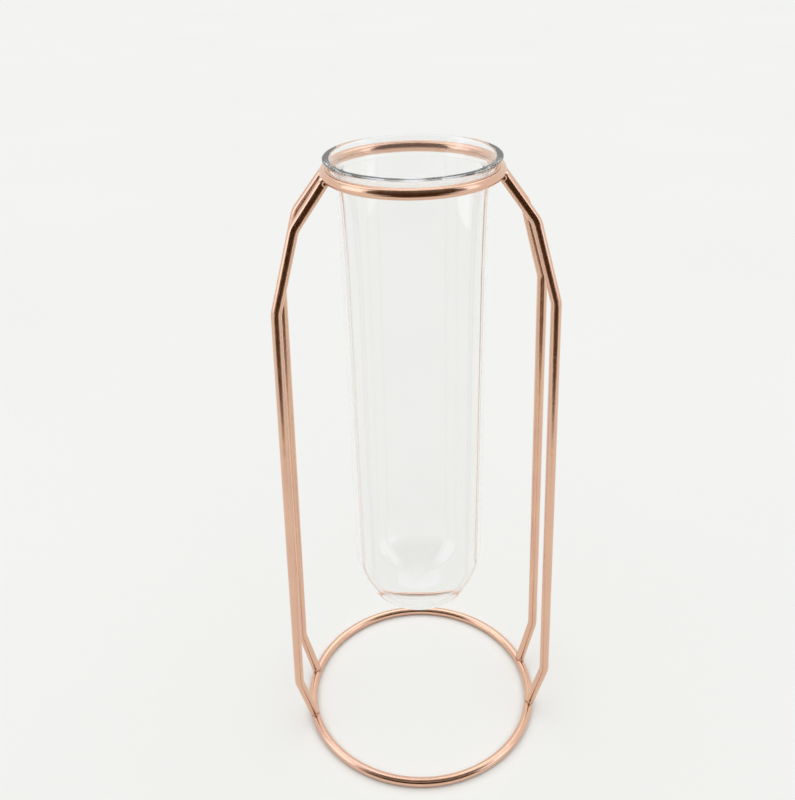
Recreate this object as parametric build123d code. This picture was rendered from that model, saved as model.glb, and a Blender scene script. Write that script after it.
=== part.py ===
from build123d import *
import math
import os

# A test tube vase: a round-bottomed glass tube that hangs by its lip in a welded wire stand.
# Millimetres, +Z up. The origin is on the table, under the middle of the base ring.
# The stand is two wire rings joined by four bent wire legs, in a pair at each side.

# Wire of the stand
wire_diameter = 4.0

# Glass tube
tube_outer_diameter = 54.2
tube_wall = 2.3
tube_length = 199.0
tube_floor_thickness = 1.9

# Lip at the mouth of the tube: the wall flares outwards and is ground level on top
flare_angle = 40.0
flare_thickness = 2.0
flare_outer_bend_radius = 3.0
flare_inner_bend_radius = 7.0
rim_overhang = 1.1
rim_edge_round = 0.3
mouth_edge_round = 1.2

# How the tube fits the top ring
tube_side_clearance = 1.65
lip_seat_clearance = 0.3

# Overall sizes of the stand
base_ring_outer_diameter = 107.0
stand_height = 257.5

# Legs, all in upright planes through the middle of the stand
leg_pair_angle = 29.0
ankle_height = 25.5
ankle_flare = 6.1
ankle_bend_radius = 12.0
shoulder_drop = 47.8
shoulder_flare = 0.9
shoulder_bend_radius = 9.0
neck_drop = 17.3
neck_flare = 13.05
neck_bend_radius = 9.0

# Welds between the legs and the rings
weld_sink = 1.0
weld_bead_diameter = 2.2
weld_bead_proud = 0.2

# Radii and heights that follow from the sizes above
wire_radius = wire_diameter / 2
tube_outer_radius = tube_outer_diameter / 2
bore_radius = tube_outer_radius - tube_wall
base_ring_radius = base_ring_outer_diameter / 2 - wire_radius
base_ring_height = wire_radius
top_ring_radius = tube_outer_radius + tube_side_clearance + wire_radius
top_ring_height = stand_height - wire_radius

# The flare's slope, set so that its underside clears the top ring's wire by the seat clearance
flare_sine = math.sin(math.radians(flare_angle))
flare_cosine = math.cos(math.radians(flare_angle))
flare_tangent = flare_sine / flare_cosine
seat_distance = wire_radius + lip_seat_clearance
ring_gap_share = (top_ring_radius - tube_outer_radius) * flare_cosine
outer_bend_height = top_ring_height + (seat_distance - ring_gap_share) / flare_sine
rim_radius = top_ring_radius + rim_overhang
mouth_radius = rim_radius - flare_thickness / flare_cosine
lip_top = outer_bend_height + (rim_radius - tube_outer_radius) / flare_tangent
inner_bend_height = lip_top - (mouth_radius - bore_radius) / flare_tangent
tube_bottom = lip_top - tube_length

# Direction of each leg round the stand, in degrees from the right-hand side
half_pair_angle = leg_pair_angle / 2
quarter_turn = 90.0
half_turn = 180.0
leg_azimuths = {
    "front_left_leg": half_turn + half_pair_angle,
    "front_right_leg": -half_pair_angle,
    "back_left_leg": half_turn - half_pair_angle,
    "back_right_leg": half_pair_angle,
}


def ring(radius, height):
    """A closed wire ring lying level, its wire's middle at the given radius and height."""
    return Pos(0, 0, height) * Rot(0, 0, quarter_turn) * Torus(radius, wire_radius)


def lip_outline(wall_start, bore_end):
    """The outside wall, the flared lip and the bore as one line, its corners rounded."""
    corners = [
        (tube_outer_radius, outer_bend_height),
        (rim_radius, lip_top),
        (mouth_radius, lip_top),
        (bore_radius, inner_bend_height),
    ]
    radii = [flare_outer_bend_radius, rim_edge_round, mouth_edge_round, flare_inner_bend_radius]
    return FilletPolyline(wall_start, *corners, bore_end, radius=radii)


def tube_section():
    """Half of the tube's upright section, from the axis outwards."""
    dome_centre = tube_bottom + tube_outer_radius
    floor_top = tube_bottom + tube_floor_thickness
    bowl_centre = floor_top + bore_radius
    dome = CenterArc((0, dome_centre), tube_outer_radius, -quarter_turn, quarter_turn)
    lip = lip_outline((tube_outer_radius, dome_centre), (bore_radius, bowl_centre))
    bowl = CenterArc((0, bowl_centre), bore_radius, 0, -quarter_turn)
    axis_line = Line((0, floor_top), (0, tube_bottom))
    return make_face([*dome.edges(), *lip.edges(), *bowl.edges(), *axis_line.edges()])


def glass_tube():
    """The tube with its round bottom and flared lip."""
    return revolve(Plane.XZ * tube_section(), Axis.Z)


def toward(start, end, distance):
    """The point at a distance from start on the straight line to end."""
    run = Vector(*end) - Vector(*start)
    point = Vector(*start) + run.normalized() * distance
    return (point.X, point.Y)


def leg_corners():
    """Corners of a leg's middle line in its upright plane, as distance out and height."""
    foot = (base_ring_radius, base_ring_height)
    ankle = (base_ring_radius + ankle_flare, ankle_height)
    shoulder = (base_ring_radius + shoulder_flare, top_ring_height - shoulder_drop)
    neck = (top_ring_radius + neck_flare, top_ring_height - neck_drop)
    head = (top_ring_radius, top_ring_height)
    return foot, ankle, shoulder, neck, head


def leg(base_ring, top_ring):
    """One bent leg in the plane of X and Z, its square-cut ends let into both rings."""
    foot, ankle, shoulder, neck, head = leg_corners()
    end_gap = wire_radius - weld_sink
    start = toward(foot, ankle, end_gap)
    end = toward(head, neck, end_gap)
    radii = [ankle_bend_radius, shoulder_bend_radius, neck_bend_radius]
    path = Plane.XZ * FilletPolyline(start, ankle, shoulder, neck, end, radius=radii)
    section = Plane(origin=path @ 0, z_dir=path % 0) * Circle(wire_radius)
    wire = sweep(section, path=path)
    return wire - base_ring - top_ring


def weld_beads(joined_leg, joined_ring, corner, next_corner):
    """The two small beads in the creases where a leg meets a ring, either side of the leg."""
    offset = wire_radius + weld_bead_proud
    seat = toward(corner, next_corner, offset)
    beads = []
    for side in (-offset, offset):
        bead = Pos(seat[0], side, seat[1]) * Sphere(weld_bead_diameter / 2)
        beads.append(bead - joined_leg - joined_ring)
    return beads


def all_round(pieces):
    """The pieces of one leg repeated at all four legs."""
    return Compound([Rot(0, 0, azimuth) * piece for azimuth in leg_azimuths.values() for piece in pieces])


def build_parts():
    """Every piece of the vase under its node name."""
    foot, ankle, shoulder, neck, head = leg_corners()
    base_ring = ring(base_ring_radius, base_ring_height)
    top_ring = ring(top_ring_radius, top_ring_height)
    one_leg = leg(base_ring, top_ring)
    parts = {
        "glass_tube": glass_tube(),
        "top_ring": top_ring,
        "base_ring": base_ring,
        "base_ring_weld_beads": all_round(weld_beads(one_leg, base_ring, foot, ankle)),
        "top_ring_weld_beads": all_round(weld_beads(one_leg, top_ring, head, neck)),
    }
    for name, azimuth in leg_azimuths.items():
        parts[name] = Rot(0, 0, azimuth) * one_leg
    return parts


os.makedirs("parts", exist_ok=True)
for name, part in build_parts().items():
    export_step(part, os.path.join("parts", name + ".step"))
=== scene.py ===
"""A test tube vase in a studio: a round-bottomed glass tube hung by its lip in a stand of bent wire.

Metres, +Z up. The origin is on the table, under the middle of the base ring. The legs stand in
pairs at the left (-X) and right (+X), and the viewer is at -Y.
"""
import logging
import math
from collections.abc import Iterable, Sequence
from dataclasses import dataclass, field
from enum import Enum

import bmesh
import bpy
from mathutils import Matrix, Vector, noise


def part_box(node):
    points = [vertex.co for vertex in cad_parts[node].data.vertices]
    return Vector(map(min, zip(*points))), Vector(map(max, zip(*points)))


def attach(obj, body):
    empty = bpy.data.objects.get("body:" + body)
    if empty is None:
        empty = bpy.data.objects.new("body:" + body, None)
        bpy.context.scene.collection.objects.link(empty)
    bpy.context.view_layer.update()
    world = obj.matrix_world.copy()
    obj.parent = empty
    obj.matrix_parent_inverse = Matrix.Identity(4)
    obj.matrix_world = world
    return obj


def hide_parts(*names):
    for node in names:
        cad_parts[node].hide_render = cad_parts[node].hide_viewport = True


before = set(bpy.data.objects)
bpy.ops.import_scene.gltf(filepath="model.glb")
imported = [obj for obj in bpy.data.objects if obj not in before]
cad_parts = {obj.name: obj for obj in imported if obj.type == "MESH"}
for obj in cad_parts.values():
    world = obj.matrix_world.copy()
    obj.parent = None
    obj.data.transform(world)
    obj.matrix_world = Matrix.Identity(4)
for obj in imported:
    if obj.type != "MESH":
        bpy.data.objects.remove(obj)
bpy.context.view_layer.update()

LOG = logging.getLogger("test_tube_vase")

Colour = tuple[float, float, float]
Span = tuple[float, float]
# Distance from the axis and height
SectionPoint = tuple[float, float]
Socket = bpy.types.NodeSocket
Material = bpy.types.Material
Piece = bpy.types.Object

FULL_TURN = math.tau
HALF_TURN = math.pi
QUARTER_TURN = math.pi / 2
ORIGIN = Vector((0.0, 0.0, 0.0))
TO_LEFT = Vector((-1.0, 0.0, 0.0))
TO_BACK = Vector((0.0, 1.0, 0.0))
TO_VIEWER = Vector((0.0, -1.0, 0.0))
UP = Vector((0.0, 0.0, 1.0))
DOWN = Vector((0.0, 0.0, -1.0))


class Body(Enum):
    """The bodies that pieces ride on."""

    STAND = "stand"
    TUBE = "tube"


class Slot(Enum):
    """The names of the finishes."""

    GLASS = "clear_glass"
    PLATE = "rose_gold_plate"


class Side(Enum):
    """Which way a pair of legs stands from the middle, as a turn from +X."""

    RIGHT = 0.0
    LEFT = HALF_TURN


class Row(Enum):
    """Which leg of a pair, as the sign of its turn from the middle of the right-hand pair."""

    FRONT = -1
    BACK = 1


class InGlass(Enum):
    """What the tube's glass does with a studio panel."""

    ALONE_MIRRORS_IT = "mirrors it, and the metal doesn't"
    MIRRORS_IT = "mirrors it, and so does the metal"
    PASSES_IT = "only lets the metal behind it mirror the panel"
    HIDES_IT = "hides it"


@dataclass(frozen=True)
class Pattern:
    """An uneven pattern: its patches along a metre, its finer layers and its stretch."""

    patches: float
    layers: float = 1.0
    stretch: tuple[float, float, float] = (1.0, 1.0, 1.0)


class NodeSketch:
    """A node tree, drawn a node at a time."""

    # A count of bounces below this is none
    none_yet = 0.5

    def __init__(self, tree: bpy.types.NodeTree) -> None:
        """Starts an empty tree.

        Args:
            tree: the tree of a material or a world.
        """
        self.tree = tree
        self.tree.nodes.clear()

    def add(self, kind: str) -> bpy.types.Node:
        """Adds a node of this kind."""
        return self.tree.nodes.new(kind)

    def link(self, source: Socket, target: Socket) -> None:
        """Joins an output to an input."""
        self.tree.links.new(source, target)

    def compute(self, operation: str, first: Socket, second: Socket | float) -> Socket:
        """Works one value out of two and keeps it between 0 and 1.

        Args:
            operation: the name of the sum.
            first: the first value.
            second: the second value, or a plain number.

        Returns:
            The result.
        """
        node = self.add("ShaderNodeMath")
        node.operation = operation
        node.use_clamp = True
        self.link(first, node.inputs[0])
        if isinstance(second, float):
            node.inputs[1].default_value = second
        else:
            self.link(second, node.inputs[1])
        return node.outputs["Value"]

    def spread(self, value: Socket, source: Span, target: Span = (0.0, 1.0)) -> Socket:
        """Moves a value from one span to another, and stops at its ends.

        Args:
            value: the value.
            source: where it starts and ends.
            target: what its start and its end become.

        Returns:
            The moved value.
        """
        node = self.add("ShaderNodeMapRange")
        spans = zip(("From Min", "From Max", "To Min", "To Max"), (*source, *target))
        for name, number in spans:
            node.inputs[name].default_value = number
        self.link(value, node.inputs["Value"])
        return node.outputs["Result"]

    def height(self, place: Socket) -> Socket:
        """Takes the height out of a place or a direction.

        Args:
            place: the place or the direction.

        Returns:
            Its Z.
        """
        split = self.add("ShaderNodeSeparateXYZ")
        self.link(place, split.inputs["Vector"])
        return split.outputs["Z"]

    def either(self, choice: Socket, shader_at_0: Socket, shader_at_1: Socket) -> Socket:
        """Mixes two shaders.

        Args:
            choice: which of them shows, from 0 to 1.
            shader_at_0: the shader that shows at 0.
            shader_at_1: the shader that shows at 1.

        Returns:
            The mixed shader.
        """
        pick = self.add("ShaderNodeMixShader")
        self.link(choice, pick.inputs["Fac"])
        self.link(shader_at_0, pick.inputs[1])
        self.link(shader_at_1, pick.inputs[2])
        return pick.outputs["Shader"]

    def background(self, colour: Colour) -> bpy.types.Node:
        """Adds a world's background at full strength.

        Args:
            colour: its colour.

        Returns:
            The background's node.
        """
        plain = self.add("ShaderNodeBackground")
        plain.inputs["Color"].default_value = (*colour, 1.0)
        return plain


class ShaderSketch(NodeSketch):
    """A material, drawn a node at a time."""

    # Most of a noise pattern lies between these heights
    usual_noise = (0.3, 0.7)

    def __init__(self, name: str) -> None:
        """Starts an empty material.

        Args:
            name: the material's name.
        """
        self.material = bpy.data.materials.new(name)
        self.material.use_nodes = True
        super().__init__(self.material.node_tree)
        self.place = self.add("ShaderNodeTexCoord").outputs["Object"]

    def noise(self, pattern: Pattern) -> Socket:
        """Adds a noise pattern in the object's own space.

        Args:
            pattern: how dense, how fine and how stretched it is.

        Returns:
            The pattern's height, from 0 to 1.
        """
        squeeze = self.add("ShaderNodeMapping")
        squeeze.inputs["Scale"].default_value = pattern.stretch
        cloud = self.add("ShaderNodeTexNoise")
        cloud.inputs["Scale"].default_value = pattern.patches
        cloud.inputs["Detail"].default_value = pattern.layers
        self.link(self.place, squeeze.inputs["Vector"])
        self.link(squeeze.outputs["Vector"], cloud.inputs["Vector"])
        return cloud.outputs["Fac"]

    def between(self, value: Socket, low: Colour, high: Colour) -> Socket:
        """Blends two colours by a noise height.

        Args:
            value: the height.
            low: the colour of the pattern's low parts.
            high: the colour of its high parts.

        Returns:
            The blended colour.
        """
        blend = self.add("ShaderNodeMix")
        blend.data_type = "RGBA"
        blend.inputs["A"].default_value = (*low, 1.0)
        blend.inputs["B"].default_value = (*high, 1.0)
        self.link(self.spread(value, self.usual_noise), blend.inputs["Factor"])
        return blend.outputs["Result"]

    def bump(self, height: Socket, depth: float) -> Socket:
        """Turns a height into a bent normal.

        Args:
            height: the pattern, from 0 to 1.
            depth: how deep the pattern is, in metres.

        Returns:
            The normal.
        """
        relief = self.add("ShaderNodeBump")
        relief.inputs["Distance"].default_value = depth
        self.link(height, relief.inputs["Height"])
        return relief.outputs["Normal"]

    def clear_when(self, condition: Socket, shader: Socket) -> Socket:
        """Makes a shader clear where the condition is 1, and leaves it where that is 0."""
        return self.either(condition, shader, self.add("ShaderNodeBsdfTransparent").outputs["BSDF"])

    def mirrored_only(self, shader: Socket, in_glass: InGlass) -> Socket:
        """Shows a shader in mirrors only, and keeps it from being sampled as a lamp.

        A straight look passes it, through glass too.

        Args:
            shader: what a reflection shows.
            in_glass: what the tube's glass does with it.

        Returns:
            The mixed shader.
        """
        path = self.add("ShaderNodeLightPath").outputs
        straight = self.compute("LESS_THAN", path["Glossy Depth"], self.none_yet)
        seen = self.clear_when(straight, shader)
        if in_glass is InGlass.HIDES_IT:
            seen = self.clear_when(path["Is Singular Ray"], seen)
        if in_glass is InGlass.ALONE_MIRRORS_IT:
            soft_mirror = self.compute("LESS_THAN", path["Is Singular Ray"], self.none_yet)
            seen = self.clear_when(soft_mirror, seen)
        if in_glass is InGlass.PASSES_IT:
            sharp_mirror = self.compute("SUBTRACT", path["Is Singular Ray"], path["Is Transmission Ray"])
            seen = self.clear_when(sharp_mirror, seen)
        self.material.cycles.emission_sampling = "NONE"
        return seen

    def finish(self, shader: Socket) -> Material:
        """Puts the shader on the surface and hands the material over."""
        self.link(shader, self.add("ShaderNodeOutputMaterial").inputs["Surface"])
        return self.material


@dataclass(frozen=True)
class RoseGoldPlate:
    """Bright rose gold plating over drawn wire, a little uneven in hue and polish."""

    pink: Colour = (0.76, 0.47, 0.355)
    gold: Colour = (0.79, 0.51, 0.36)
    hue: Pattern = Pattern(55.0)
    roughness: Span = (0.16, 0.23)
    polish: Pattern = Pattern(420.0, layers=3.0)
    peel: Pattern = Pattern(900.0, layers=2.0)
    peel_depth: float = 0.000012

    def material(self) -> Material:
        """Makes the material.

        Returns:
            A metal whose hue, roughness and faint orange peel come from noise.
        """
        sketch = ShaderSketch("rose_gold_plate")
        metal = sketch.add("ShaderNodeBsdfPrincipled")
        metal.inputs["Metallic"].default_value = 1.0
        hue = sketch.between(sketch.noise(self.hue), self.pink, self.gold)
        polish = sketch.noise(self.polish)
        peel = sketch.noise(self.peel)
        roughness = sketch.spread(polish, sketch.usual_noise, self.roughness)
        sketch.link(hue, metal.inputs["Base Color"])
        sketch.link(roughness, metal.inputs["Roughness"])
        sketch.link(sketch.bump(peel, self.peel_depth), metal.inputs["Normal"])
        return sketch.finish(metal.outputs["BSDF"])


@dataclass(frozen=True)
class PlatedWeld:
    """Weld metal under the same plating: lumpier and duller than the wire."""

    light: Colour = (0.77, 0.49, 0.36)
    dark: Colour = (0.50, 0.28, 0.19)
    stain: Pattern = Pattern(700.0, layers=2.0)
    roughness: Span = (0.24, 0.42)
    lumps: Pattern = Pattern(1400.0, layers=3.0)
    lump_depth: float = 0.00006

    def material(self) -> Material:
        """Makes the material.

        Returns:
            A metal with stains, dull spots and small lumps.
        """
        sketch = ShaderSketch("plated_weld")
        metal = sketch.add("ShaderNodeBsdfPrincipled")
        metal.inputs["Metallic"].default_value = 1.0
        stain = sketch.noise(self.stain)
        lumps = sketch.noise(self.lumps)
        roughness = sketch.spread(lumps, sketch.usual_noise, self.roughness)
        sketch.link(sketch.between(stain, self.dark, self.light), metal.inputs["Base Color"])
        sketch.link(roughness, metal.inputs["Roughness"])
        sketch.link(sketch.bump(lumps, self.lump_depth), metal.inputs["Normal"])
        return sketch.finish(metal.outputs["BSDF"])


@dataclass(frozen=True)
class ClearGlass:
    """Clear soda glass drawn into a tube, with the faint waves that drawing leaves."""

    clear: Colour = (0.978, 0.978, 0.977)
    tinted: Colour = (0.967, 0.968, 0.966)
    refractive_index: float = 1.5
    tint: Pattern = Pattern(30.0)
    waves: Pattern = Pattern(60.0, stretch=(1.0, 1.0, 0.12))
    wave_depth: float = 0.000004

    def material(self) -> Material:
        """Makes the material.

        Returns:
            Glass whose tint and drawn waves come from noise.
        """
        sketch = ShaderSketch("clear_glass")
        glass = sketch.add("ShaderNodeBsdfPrincipled")
        glass.inputs["Roughness"].default_value = 0.0
        glass.inputs["IOR"].default_value = self.refractive_index
        glass.inputs["Transmission Weight"].default_value = 1.0
        tint = sketch.noise(self.tint)
        waves = sketch.noise(self.waves)
        sketch.link(sketch.between(tint, self.tinted, self.clear), glass.inputs["Base Color"])
        sketch.link(sketch.bump(waves, self.wave_depth), glass.inputs["Normal"])
        return sketch.finish(glass.outputs["BSDF"])


@dataclass(frozen=True)
class StudioPaper:
    """The pale paper that the vase stands on."""

    pale: Colour = (0.888, 0.895, 0.872)
    paler: Colour = (0.898, 0.905, 0.882)
    mottle: Pattern = Pattern(3.0, layers=2.0)

    def material(self) -> Material:
        """Makes the material.

        Returns:
            A matt surface with a barely uneven colour.
        """
        sketch = ShaderSketch("studio_paper")
        paper = sketch.add("ShaderNodeBsdfDiffuse")
        mottle = sketch.noise(self.mottle)
        sketch.link(sketch.between(mottle, self.pale, self.paler), paper.inputs["Color"])
        return sketch.finish(paper.outputs["BSDF"])


@dataclass(frozen=True)
class ShadeSheet:
    """A brown-black sheet that only reflections show: painted shade for the unlit surroundings and the
    shadowed table near the viewer, fading to clear downwards between two heights.
    """

    # The tones of the painted shade
    black: Colour = (0.066, 0.032, 0.010)
    brown: Colour = (0.094, 0.046, 0.018)
    shade_mottle: Pattern = Pattern(6.0)
    hem: Span = (0.28, 0.15)
    in_glass: InGlass = InGlass.PASSES_IT

    def material(self) -> Material:
        """Makes the material.

        Returns:
            Matt painted shade, a little uneven at random, which is clear below its fade.
        """
        sketch = ShaderSketch("painted_shade")
        shade_sheet = sketch.add("ShaderNodeBsdfDiffuse")
        # Painted shade, a little uneven at random, with a soft lower edge where it fades out
        shade_mottle = sketch.noise(self.shade_mottle)
        fade_out = sketch.spread(sketch.height(sketch.place), self.hem)
        sketch.link(sketch.between(shade_mottle, self.black, self.brown), shade_sheet.inputs["Color"])
        faded = sketch.clear_when(fade_out, shade_sheet.outputs["BSDF"])
        return sketch.finish(sketch.mirrored_only(faded, self.in_glass))


@dataclass(frozen=True)
class WhiteCard:
    """A white card that glows brighter than the surround and lights nothing: a painted highlight that
    only reflections show.
    """

    warm: Colour = (0.94, 0.97, 1.03)
    cool: Colour = (0.90, 0.96, 1.08)
    light: float = 1.75
    tone: Pattern = Pattern(2.0)
    in_glass: InGlass = InGlass.MIRRORS_IT

    def material(self) -> Material:
        """Makes the material.

        Returns:
            A glow with a barely uneven colour.
        """
        sketch = ShaderSketch("painted_highlight_card")
        glow = sketch.add("ShaderNodeEmission")
        # Painted highlight: a glow that only reflections show
        glow.inputs["Strength"].default_value = self.light
        tone = sketch.between(sketch.noise(self.tone), self.warm, self.cool)
        sketch.link(tone, glow.inputs["Color"])
        return sketch.finish(sketch.mirrored_only(glow.outputs["Emission"], self.in_glass))


def as_piece(mesh: bmesh.types.BMesh, name: str, material: Material) -> Piece:
    """Makes a smooth-shaded object of a finished mesh, at the origin.

    Args:
        mesh: the mesh, which is freed.
        name: the object's name.
        material: its finish.

    Returns:
        The new object, linked to the scene.
    """
    for face in mesh.faces:
        face.smooth = True
    data = bpy.data.meshes.new(name)
    mesh.to_mesh(data)
    mesh.free()
    data.materials.append(material)
    piece = bpy.data.objects.new(name, data)
    bpy.context.scene.collection.objects.link(piece)
    return piece


def placed(piece: Piece, body: Body, nodes: Iterable[str]) -> Piece:
    """Lets a piece ride on its body in the place of the nodes that it stands for.

    Args:
        piece: the finished object.
        body: the body that carries it.
        nodes: the nodes that it replaces.

    Returns:
        The same object.
    """
    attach(piece, body.value)
    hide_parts(*nodes)
    LOG.info("%s: %d faces", piece.name, len(piece.data.polygons))
    return piece


class HalfSection:
    """Half of a round body's upright section, drawn from point to point and then spun."""

    straight_steps = 6

    def __init__(self, start: SectionPoint) -> None:
        """Starts the outline.

        Args:
            start: the first point, as its distance from the axis and its height.
        """
        self.mesh = bmesh.new()
        self.tip = self.mesh.verts.new(self.point(start))

    @staticmethod
    def point(place: SectionPoint) -> Vector:
        """A place in the section as a point in the XZ plane."""
        return Vector((place[0], 0.0, place[1]))

    def line(self, end: SectionPoint, steps: int = 1) -> None:
        """Draws a straight stretch.

        Args:
            end: where it ends, as distance from the axis and height.
            steps: how many edges it has.
        """
        stride = (self.point(end) - self.tip.co) / steps
        for _ in range(steps):
            drawn = bmesh.ops.extrude_vert_indiv(self.mesh, verts=[self.tip])
            bmesh.ops.translate(self.mesh, verts=drawn["verts"], vec=stride)
            self.tip = drawn["verts"][0]

    def arc(self, centre: SectionPoint, turn: float, steps: int) -> None:
        """Draws an arc from the present point.

        Args:
            centre: the arc's centre, as distance from the axis and height.
            turn: how far it turns, in radians, positive from +X towards +Z.
            steps: how many edges it has.
        """
        drawn = bmesh.ops.spin(
            self.mesh,
            geom=[self.tip],
            cent=self.point(centre),
            axis=TO_VIEWER,
            angle=turn,
            steps=steps,
        )
        self.tip = next(part for part in drawn["geom_last"] if isinstance(part, bmesh.types.BMVert))

    def rounded(self, corners: Sequence[SectionPoint], radii: Sequence[float], steps: int) -> None:
        """Draws straight stretches from corner to corner, and rounds each corner but the last.

        Args:
            corners: where the stretches meet and, last, where the drawing ends.
            radii: the round at each corner but the last.
            steps: how many edges a round has.
        """
        points = [self.tip.co.copy(), *map(self.point, corners)]
        runs = [after - before for before, after in zip(points, points[1:])]
        headings = [math.atan2(run.z, run.x) for run in runs]
        for index, radius in enumerate(radii):
            turn = math.remainder(headings[index + 1] - headings[index], FULL_TURN)
            ahead = runs[index].normalized()
            spent = radius * math.tan(abs(turn) / 2)
            start = points[index + 1] - ahead * spent
            sideways = Vector((-ahead.z, 0.0, ahead.x)) * math.copysign(radius, turn)
            self.line((start.x, start.z), self.straight_steps)
            self.arc((start.x + sideways.x, start.z + sideways.z), turn, steps)
        self.line(corners[-1], self.straight_steps)

    def spun(self, steps: int, weld: float) -> bmesh.types.BMesh:
        """Spins the outline round the Z axis into a closed body.

        Args:
            steps: how many faces go round.
            weld: how close points have to be to become one, in metres.

        Returns:
            The body, with its faces outwards.
        """
        bmesh.ops.spin(
            self.mesh,
            geom=self.mesh.verts[:] + self.mesh.edges[:],
            cent=ORIGIN,
            axis=UP,
            angle=FULL_TURN,
            steps=steps,
            use_merge=True,
        )
        bmesh.ops.remove_doubles(self.mesh, verts=self.mesh.verts, dist=weld)
        bmesh.ops.recalc_face_normals(self.mesh, faces=self.mesh.faces)
        return self.mesh


class WireBender:
    """A round wire in the XZ plane, fed straight and bent round formers as a workshop does it."""

    def __init__(self, radius: float, sides: int, start: Vector, heading: float) -> None:
        """Starts the wire with its first end face.

        Args:
            radius: the wire's radius.
            sides: how many faces go round the wire.
            start: the middle of the first end.
            heading: the way it is fed, in radians from +X towards +Z.
        """
        self.mesh = bmesh.new()
        self.place = start.copy()
        self.heading = heading
        made = bmesh.ops.create_circle(self.mesh, segments=sides, radius=radius, cap_ends=True)
        stand_up = Matrix.Translation(start) @ Matrix.Rotation(QUARTER_TURN - heading, 4, "Y")
        bmesh.ops.transform(self.mesh, matrix=stand_up, verts=made["verts"])
        self.rim = list(self.mesh.edges)

    @property
    def ahead(self) -> Vector:
        """The way the wire is fed."""
        return Vector((math.cos(self.heading), 0.0, math.sin(self.heading)))

    def feed(self, length: float, steps: int) -> None:
        """Feeds a straight stretch.

        Args:
            length: how long it is.
            steps: how many rows of faces it has.
        """
        for _ in range(steps):
            grown = bmesh.ops.extrude_edge_only(self.mesh, edges=self.rim)["geom"]
            points = [part for part in grown if isinstance(part, bmesh.types.BMVert)]
            bmesh.ops.translate(self.mesh, verts=points, vec=self.ahead * (length / steps))
            self.rim = self.rim_of(points, grown)
        self.place = self.place + self.ahead * length

    def bend(self, turn: float, radius: float, steps: int) -> None:
        """Bends the wire.

        Args:
            turn: how far its heading turns, in radians.
            radius: the bend's radius at the wire's middle.
            steps: how many rows of faces it has.
        """
        sideways = Vector((-math.sin(self.heading), 0.0, math.cos(self.heading)))
        centre = self.place + sideways * math.copysign(radius, turn)
        grown = bmesh.ops.spin(
            self.mesh,
            geom=self.rim,
            cent=centre,
            axis=TO_VIEWER,
            angle=turn,
            steps=steps,
        )["geom_last"]
        points = [part for part in grown if isinstance(part, bmesh.types.BMVert)]
        self.rim = self.rim_of(points, grown)
        swing = Matrix.Rotation(turn, 4, TO_VIEWER)
        self.place = centre + swing @ (self.place - centre)
        self.heading += turn

    @staticmethod
    def rim_of(points: Sequence[bmesh.types.BMVert], parts: Iterable) -> list[bmesh.types.BMEdge]:
        """The edges of the wire's open end.

        Args:
            points: the end's points.
            parts: what the last step made.

        Returns:
            The edges among parts that join two of the points.
        """
        inside = set(points)
        edges = [part for part in parts if isinstance(part, bmesh.types.BMEdge)]
        return [edge for edge in edges if inside.issuperset(edge.verts)]

    def cut_off(self) -> bmesh.types.BMesh:
        """Closes the last end.

        Returns:
            The wire, with its faces outwards.
        """
        bmesh.ops.holes_fill(self.mesh, edges=self.rim)
        bmesh.ops.recalc_face_normals(self.mesh, faces=self.mesh.faces)
        return self.mesh


@dataclass
class GlassTube:
    """The tube: a flared lip ground level on top, a straight wall and a round bottom."""

    outer_radius: float = 0.0271
    wall: float = 0.0023
    floor_thickness: float = 0.0019
    flare_angle: float = math.radians(40.0)
    flare_thickness: float = 0.002
    outer_bend: float = 0.003
    inner_bend: float = 0.007
    rim_edge_round: float = 0.0003
    mouth_edge_round: float = 0.0012
    faces_round: int = 192
    dome_steps: int = 40
    lip_steps: int = 14
    weld: float = 0.0000001
    finish: ClearGlass = ClearGlass()

    @property
    def bore_radius(self) -> float:
        """The radius of the tube's inside."""
        return self.outer_radius - self.wall

    def lip_corners(self) -> list[SectionPoint]:
        """The corners of the flared lip's section, as distance from the axis and height.

        Returns:
            The outer bend, the rim's outer corner, the mouth's corner and the inner bend.
        """
        _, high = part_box("glass_tube")
        half_corner = (QUARTER_TURN - self.flare_angle) / 2
        slope = math.tan(self.flare_angle)
        # The sharp corner lies a little beyond the widest point of its round
        rim = high[0] + self.rim_edge_round * (1 / math.tan(half_corner) - 1)
        mouth = rim - self.flare_thickness / math.cos(self.flare_angle)
        return [
            (self.outer_radius, high[2] - (rim - self.outer_radius) / slope),
            (rim, high[2]),
            (mouth, high[2]),
            (self.bore_radius, high[2] - (mouth - self.bore_radius) / slope),
        ]

    def section(self) -> HalfSection:
        """Draws the tube's half section, from the middle of its underside round to its floor.

        Returns:
            The open outline, both ends on the axis.
        """
        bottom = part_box("glass_tube")[0][2]
        dome_centre = bottom + self.outer_radius
        bowl_centre = bottom + self.floor_thickness + self.bore_radius
        radii = [self.outer_bend, self.rim_edge_round, self.mouth_edge_round, self.inner_bend]
        outline = HalfSection((0.0, bottom))
        outline.arc((0.0, dome_centre), QUARTER_TURN, self.dome_steps)
        outline.rounded([*self.lip_corners(), (self.bore_radius, bowl_centre)], radii, self.lip_steps)
        outline.arc((0.0, bowl_centre), -QUARTER_TURN, self.dome_steps)
        return outline

    def build(self) -> Piece:
        """Spins the section and dresses it in glass.

        Light reaches the paper as if the clear glass weren't there: what one part of the tube
        turns aside, another part sends there.

        Returns:
            The piece, riding on the tube.
        """
        body = self.section().spun(self.faces_round, self.weld)
        piece = as_piece(body, "blown_glass_tube", self.finish.material())
        piece.visible_diffuse = False
        piece.visible_shadow = False
        return placed(piece, Body.TUBE, ["glass_tube"])


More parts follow.
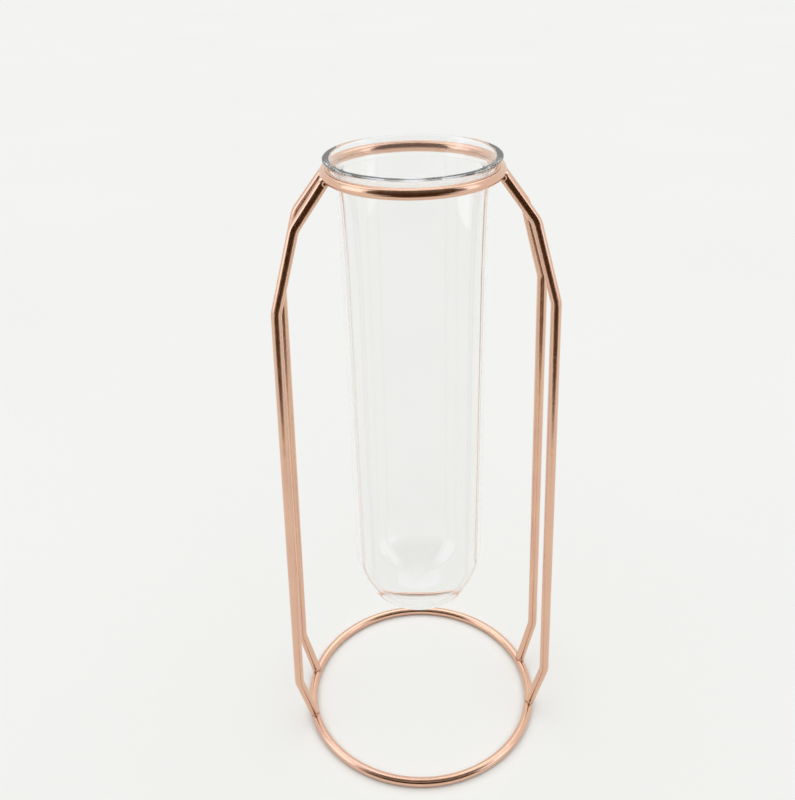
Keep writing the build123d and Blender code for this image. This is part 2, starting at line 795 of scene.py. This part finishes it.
@dataclass
class WireRing:
    """A closed ring of round wire that lies level."""

    node: str
    name: str
    faces_round_ring: int = 288
    faces_round_wire: int = 48

    @property
    def wire_radius(self) -> float:
        """The wire's radius, from the ring's height."""
        low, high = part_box(self.node)
        return (high[2] - low[2]) / 2

    @property
    def height(self) -> float:
        """The height of the wire's middle."""
        low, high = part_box(self.node)
        return (high[2] + low[2]) / 2

    @property
    def radius(self) -> float:
        """The ring's radius at the wire's middle."""
        low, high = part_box(self.node)
        return (high[0] - low[0]) / 2 - self.wire_radius

    def build(self, material: Material) -> Piece:
        """Bends the wire into its ring.

        Args:
            material: the wire's plating.

        Returns:
            The piece, riding on the stand.
        """
        mesh = bmesh.new()
        made = bmesh.ops.create_circle(mesh, segments=self.faces_round_wire, radius=self.wire_radius)
        middle = Vector((self.radius, 0.0, self.height))
        stand_up = Matrix.Translation(middle) @ Matrix.Rotation(QUARTER_TURN, 4, "X")
        bmesh.ops.transform(mesh, matrix=stand_up, verts=made["verts"])
        bmesh.ops.spin(
            mesh,
            geom=mesh.verts[:] + mesh.edges[:],
            cent=ORIGIN,
            axis=UP,
            angle=FULL_TURN,
            steps=self.faces_round_ring,
            use_merge=True,
        )
        bmesh.ops.recalc_face_normals(mesh, faces=mesh.faces)
        return placed(as_piece(mesh, self.name, material), Body.STAND, [self.node])


@dataclass
class WireLeg:
    """The line of one leg in its upright plane, from the base ring up to the top ring."""

    base: WireRing
    top: WireRing
    pair_angle: float = math.radians(29.0)
    ankle_height: float = 0.0255
    ankle_flare: float = 0.0061
    ankle_bend: float = 0.012
    shoulder_drop: float = 0.0478
    shoulder_flare: float = 0.0009
    shoulder_bend: float = 0.009
    neck_drop: float = 0.0173
    neck_flare: float = 0.01305
    neck_bend: float = 0.009
    weld_sink: float = 0.001
    run_steps: int = 10
    bend_steps: int = 22

    def corners(self) -> list[Vector]:
        """The corners of the leg's middle line.

        Returns:
            Foot, ankle, shoulder, neck and head, in the XZ plane.
        """
        return [
            Vector((self.base.radius, 0.0, self.base.height)),
            Vector((self.base.radius + self.ankle_flare, 0.0, self.ankle_height)),
            Vector((self.base.radius + self.shoulder_flare, 0.0, self.top.height - self.shoulder_drop)),
            Vector((self.top.radius + self.neck_flare, 0.0, self.top.height - self.neck_drop)),
            Vector((self.top.radius, 0.0, self.top.height)),
        ]

    def azimuth(self, side: Side, row: Row) -> float:
        """The leg's turn round the stand.

        Args:
            side: the pair that it belongs to.
            row: its place in the pair.

        Returns:
            The turn from +X, in radians.
        """
        lean = row.value if side is Side.RIGHT else -row.value
        return side.value + lean * self.pair_angle / 2

    def bent(self) -> bmesh.types.BMesh:
        """Bends a leg in the XZ plane, its ends sunk a little into both rings.

        Returns:
            The bent wire.
        """
        corners = self.corners()
        radii = [self.ankle_bend, self.shoulder_bend, self.neck_bend]
        runs = [after - before for before, after in zip(corners, corners[1:])]
        headings = [math.atan2(run.z, run.x) for run in runs]
        turns = [after - before for before, after in zip(headings, headings[1:])]
        spent = [radius * math.tan(abs(turn) / 2) for radius, turn in zip(radii, turns)]
        end_gap = self.base.wire_radius - self.weld_sink
        before = [end_gap, *spent]
        after = [*spent, end_gap]
        start = corners[0] + runs[0].normalized() * end_gap
        wire = WireBender(self.base.wire_radius, self.base.faces_round_wire, start, headings[0])
        for index, run in enumerate(runs):
            wire.feed(run.length - before[index] - after[index], self.run_steps)
            if index < len(turns):
                wire.bend(turns[index], radii[index], self.bend_steps)
        return wire.cut_off()

    def build(self, name: str, node: str, azimuth: float, material: Material) -> Piece:
        """Bends a leg and turns it to its place.

        Args:
            name: the piece's name.
            node: the node that it stands for.
            azimuth: its turn round the stand, in radians.
            material: the wire's plating.

        Returns:
            The piece, riding on the stand.
        """
        mesh = self.bent()
        turn = Matrix.Rotation(azimuth, 4, "Z")
        bmesh.ops.transform(mesh, matrix=turn, verts=mesh.verts)
        return placed(as_piece(mesh, name, material), Body.STAND, [node])


@dataclass
class WeldBeads:
    """The small beads of weld metal in the creases where the legs meet a ring."""

    node: str
    name: str
    bead_radius: float = 0.0011
    proud: float = 0.0002
    flatness: float = 0.72
    lump_share: float = 0.10
    lump_patches: float = 900.0
    fineness: int = 4

    def bead(self, mesh: bmesh.types.BMesh, seat: Vector, turn: Matrix) -> None:
        """Adds one lumpy bead, flattened against the side of the leg.

        Args:
            mesh: the mesh that holds all the beads.
            seat: the bead's middle beside the leg, before it is turned.
            turn: the leg's turn round the stand.
        """
        made = bmesh.ops.create_icosphere(mesh, subdivisions=self.fineness, radius=self.bead_radius)
        for point in made["verts"]:
            lump = noise.noise((seat + point.co) * self.lump_patches) * self.lump_share
            point.co *= 1.0 - abs(lump)
        bmesh.ops.scale(mesh, verts=made["verts"], vec=(1.0, self.flatness, 1.0))
        bmesh.ops.translate(mesh, verts=made["verts"], vec=seat)
        bmesh.ops.rotate(mesh, verts=made["verts"], cent=ORIGIN, matrix=turn)

    def build(
        self,
        ring: WireRing,
        corner: Vector,
        next_corner: Vector,
        azimuths: Iterable[float],
        material: Material,
    ) -> Piece:
        """Sets the beads at every leg.

        Args:
            ring: the ring that the beads sit on.
            corner: the leg's corner inside that ring.
            next_corner: the corner that the leg runs to from there.
            azimuths: the turn of each leg.
            material: the weld's finish.

        Returns:
            The piece, riding on the stand.
        """
        offset = ring.wire_radius + self.proud
        seat = corner + (next_corner - corner).normalized() * offset
        mesh = bmesh.new()
        for azimuth in azimuths:
            turn = Matrix.Rotation(azimuth, 3, "Z")
            for sideways in (-offset, offset):
                self.bead(mesh, Vector((seat.x, sideways, seat.z)), turn)
        return placed(as_piece(mesh, self.name, material), Body.STAND, [self.node])


@dataclass
class WireStand:
    """The welded stand: two rings, four legs and the beads that hold them together."""

    base: WireRing = field(default_factory=lambda: WireRing("base_ring", "base_ring_wire"))
    top: WireRing = field(default_factory=lambda: WireRing("top_ring", "top_ring_wire"))
    plate: RoseGoldPlate = RoseGoldPlate()
    weld: PlatedWeld = PlatedWeld()

    def build(self) -> list[Piece]:
        """Builds the stand piece by piece.

        Returns:
            Its pieces.
        """
        plating = self.plate.material()
        welding = self.weld.material()
        leg = WireLeg(self.base, self.top)
        azimuths = {
            f"{row.name}_{side.name}".lower(): leg.azimuth(side, row)
            for row in Row
            for side in Side
        }
        pieces = [self.base.build(plating), self.top.build(plating)]
        for place, azimuth in azimuths.items():
            pieces.append(leg.build(f"{place}_bent_leg", f"{place}_leg", azimuth, plating))
        foot, ankle, *_, neck, head = leg.corners()
        feet = WeldBeads("base_ring_weld_beads", "foot_weld_beads")
        heads = WeldBeads("top_ring_weld_beads", "head_weld_beads")
        pieces.append(feet.build(self.base, foot, ankle, azimuths.values(), welding))
        pieces.append(heads.build(self.top, head, neck, azimuths.values(), welding))
        return pieces


@dataclass(frozen=True)
class Panel:
    """A flat studio panel."""

    name: str
    place: Vector
    facing: Vector
    width: float
    height: float

    @property
    def matrix(self) -> Matrix:
        """Where the panel is, its back along +Z and its height along +Y."""
        return Matrix.LocRotScale(self.place, self.facing.to_track_quat("-Z", "Y"), None)


def white_cards() -> list[Panel]:
    """Places the cards of painted highlight.

    Returns:
        One at each side of the vase, and one above its far side.
    """
    aim = Vector((0.0, 0.0, 0.16))
    left, right = Vector((-0.75, -0.15, 0.45)), Vector((0.65, -0.35, 0.45))
    above = Vector((0.0, 0.43, 0.95))
    return [
        Panel("left_card", left, facing=aim - left, width=0.5, height=0.7),
        Panel("right_card", right, facing=aim - right, width=0.5, height=0.7),
        Panel("overhead_card", above, facing=DOWN, width=1.3, height=0.74),
    ]


def low_window() -> list[Panel]:
    """The low window at the right, which shows in the glass as a highlight under the lip."""
    # Painted highlight: a glowing panel that only the glass mirrors
    place = Vector((0.65, -0.155, 0.165))
    return [Panel("low_window", place, facing=TO_LEFT, width=0.31, height=0.3)]


def near_shade_sheets() -> list[Panel]:
    """Places sheets of painted shade near the viewer, for the unlit surroundings on that side.

    Returns:
        An upright one and one overhead.
    """
    # Painted shade: dark sheets that only reflections show
    upright, overhead = Vector((0.0, -0.245, 0.53)), Vector((0.0, -0.37, 0.91))
    return [
        Panel("viewer_side_shade", upright, facing=TO_BACK, width=0.9, height=0.76),
        Panel("overhead_shade", overhead, facing=DOWN, width=0.9, height=0.6),
    ]


def far_shade_sheets() -> list[Panel]:
    """Places the painted shade beyond the viewer.

    Returns:
        A level sheet of painted shadow on the table's near end, and an upright sheet of painted shade
        for the unlit surroundings behind it.
    """
    # Painted shadow on the table and painted shade beyond it, that only reflections show
    level, upright = Vector((0.0, -0.735, 0.001)), Vector((0.0, -0.78, 0.34))
    return [
        Panel("table_shadow", level, facing=DOWN, width=0.8, height=0.93),
        Panel("distant_shade", upright, facing=TO_BACK, width=2.0, height=0.68),
    ]


@dataclass
class Studio:
    """Pale paper, a white surround, bright cards of painted highlight and sheets of painted shade near
    and beyond the viewer.
    """

    floor_reach: float = 12.0
    bounces: int = 64
    surround: Colour = (0.896, 0.905, 0.880)
    white: Colour = (1.0, 1.0, 1.0)
    light_overhead: float = 1.6
    light_rise: Span = (0.4, 0.8)
    paper: StudioPaper = StudioPaper()
    card: WhiteCard = WhiteCard()
    window: WhiteCard = WhiteCard(
        warm=(1.0, 0.995, 0.97),
        cool=(0.98, 0.985, 0.97),
        light=1.65,
        in_glass=InGlass.ALONE_MIRRORS_IT,
    )
    # Painted shade near the viewer and beyond it, shown only in reflections
    shade_sheet: ShadeSheet = ShadeSheet()
    far_shade: ShadeSheet = ShadeSheet(hem=(-0.5, -1.0), in_glass=InGlass.HIDES_IT)

    def lay_floor(self) -> None:
        """Lays the paper that the vase stands on."""
        mesh = bmesh.new()
        bmesh.ops.create_grid(mesh, x_segments=1, y_segments=1, size=self.floor_reach)
        as_piece(mesh, "paper_floor", self.paper.material())

    def light_surround(self) -> None:
        """Lights the scene from above, and shows the paper's tone behind the vase.

        A straight look, glass and metal see the paper's tone. Light that reaches a matt surface,
        through the glass too, comes from the upper part of the surround.
        """
        world = bpy.data.worlds.new("white_surround")
        world.use_nodes = True
        sketch = NodeSketch(world.node_tree)
        direction = sketch.add("ShaderNodeTexCoord").outputs["Generated"]
        strength = sketch.spread(sketch.height(direction), self.light_rise, (0.0, self.light_overhead))
        lit = sketch.background(self.white)
        shown = sketch.background(self.surround)
        sketch.link(strength, lit.inputs["Strength"])
        path = sketch.add("ShaderNodeLightPath").outputs
        straight = sketch.compute("MAXIMUM", path["Is Camera Ray"], path["Is Transmission Ray"])
        unscattered = sketch.compute("LESS_THAN", path["Diffuse Depth"], sketch.none_yet)
        looked_at = sketch.compute("MAXIMUM", path["Is Glossy Ray"], straight)
        choice = sketch.compute("MULTIPLY", looked_at, unscattered)
        surface = sketch.either(choice, lit.outputs["Background"], shown.outputs["Background"])
        sketch.link(surface, sketch.add("ShaderNodeOutputWorld").inputs["Surface"])
        bpy.context.scene.world = world

    def hang(self, panel: Panel, material: Material) -> None:
        """Hangs a panel that only reflections show.

        Args:
            panel: its place and size.
            material: what it is made of.
        """
        mesh = bmesh.new()
        bmesh.ops.create_grid(mesh, x_segments=1, y_segments=1, size=1.0)
        bmesh.ops.scale(mesh, vec=(panel.width / 2, panel.height / 2, 1.0), verts=mesh.verts)
        bmesh.ops.transform(mesh, matrix=panel.matrix, verts=mesh.verts)
        sheet = as_piece(mesh, panel.name, material)
        sheet.visible_camera = False
        sheet.visible_diffuse = False
        sheet.visible_shadow = False

    def let_glass_through(self) -> None:
        """Lets light run on inside the thick glass until it leaves it."""
        paths = bpy.context.scene.cycles
        paths.max_bounces = self.bounces
        paths.glossy_bounces = self.bounces
        paths.transmission_bounces = self.bounces

    def build(self) -> None:
        """Sets the studio up."""
        self.lay_floor()
        self.light_surround()
        self.let_glass_through()
        for finish, panels in (
            (self.card, white_cards()),
            (self.window, low_window()),
            (self.shade_sheet, near_shade_sheets()),
            (self.far_shade, far_shade_sheets()),
        ):
            material = finish.material()
            for panel in panels:
                self.hang(panel, material)


@dataclass
class ViewerCamera:
    """The camera of the photograph, fitted to the vase's rings, legs and tube."""

    place: Vector = field(default_factory=lambda: Vector((-0.0180, -0.3021, 0.3380)))
    heading: float = math.radians(-2.084)
    pitch: float = math.radians(27.300)
    roll: float = math.radians(-1.483)
    lens: float = 39.47
    nearest: float = 0.01
    picture_height: float = 800.0
    principal_row: float = 356.0

    def build(self) -> None:
        """Sets the camera up and makes it the scene's own."""
        camera = bpy.data.cameras.new("viewer")
        camera.lens = self.lens
        camera.shift_y = (self.principal_row - self.picture_height / 2) / self.picture_height
        camera.clip_start = self.nearest
        aim = (
            Matrix.Rotation(self.heading, 4, "Z")
            @ Matrix.Rotation(QUARTER_TURN - self.pitch, 4, "X")
            @ Matrix.Rotation(self.roll, 4, "Z")
        )
        viewer = bpy.data.objects.new("viewer", camera)
        viewer.matrix_world = Matrix.Translation(self.place) @ aim
        bpy.context.scene.collection.objects.link(viewer)
        bpy.context.scene.camera = viewer


def main() -> None:
    """Builds the vase, its studio and the camera."""
    logging.basicConfig(level=logging.INFO, format="%(message)s")
    GlassTube().build()
    WireStand().build()
    Studio().build()
    ViewerCamera().build()
    bpy.context.scene.view_settings.view_transform = "Standard"


if __name__ == "__main__":
    main()
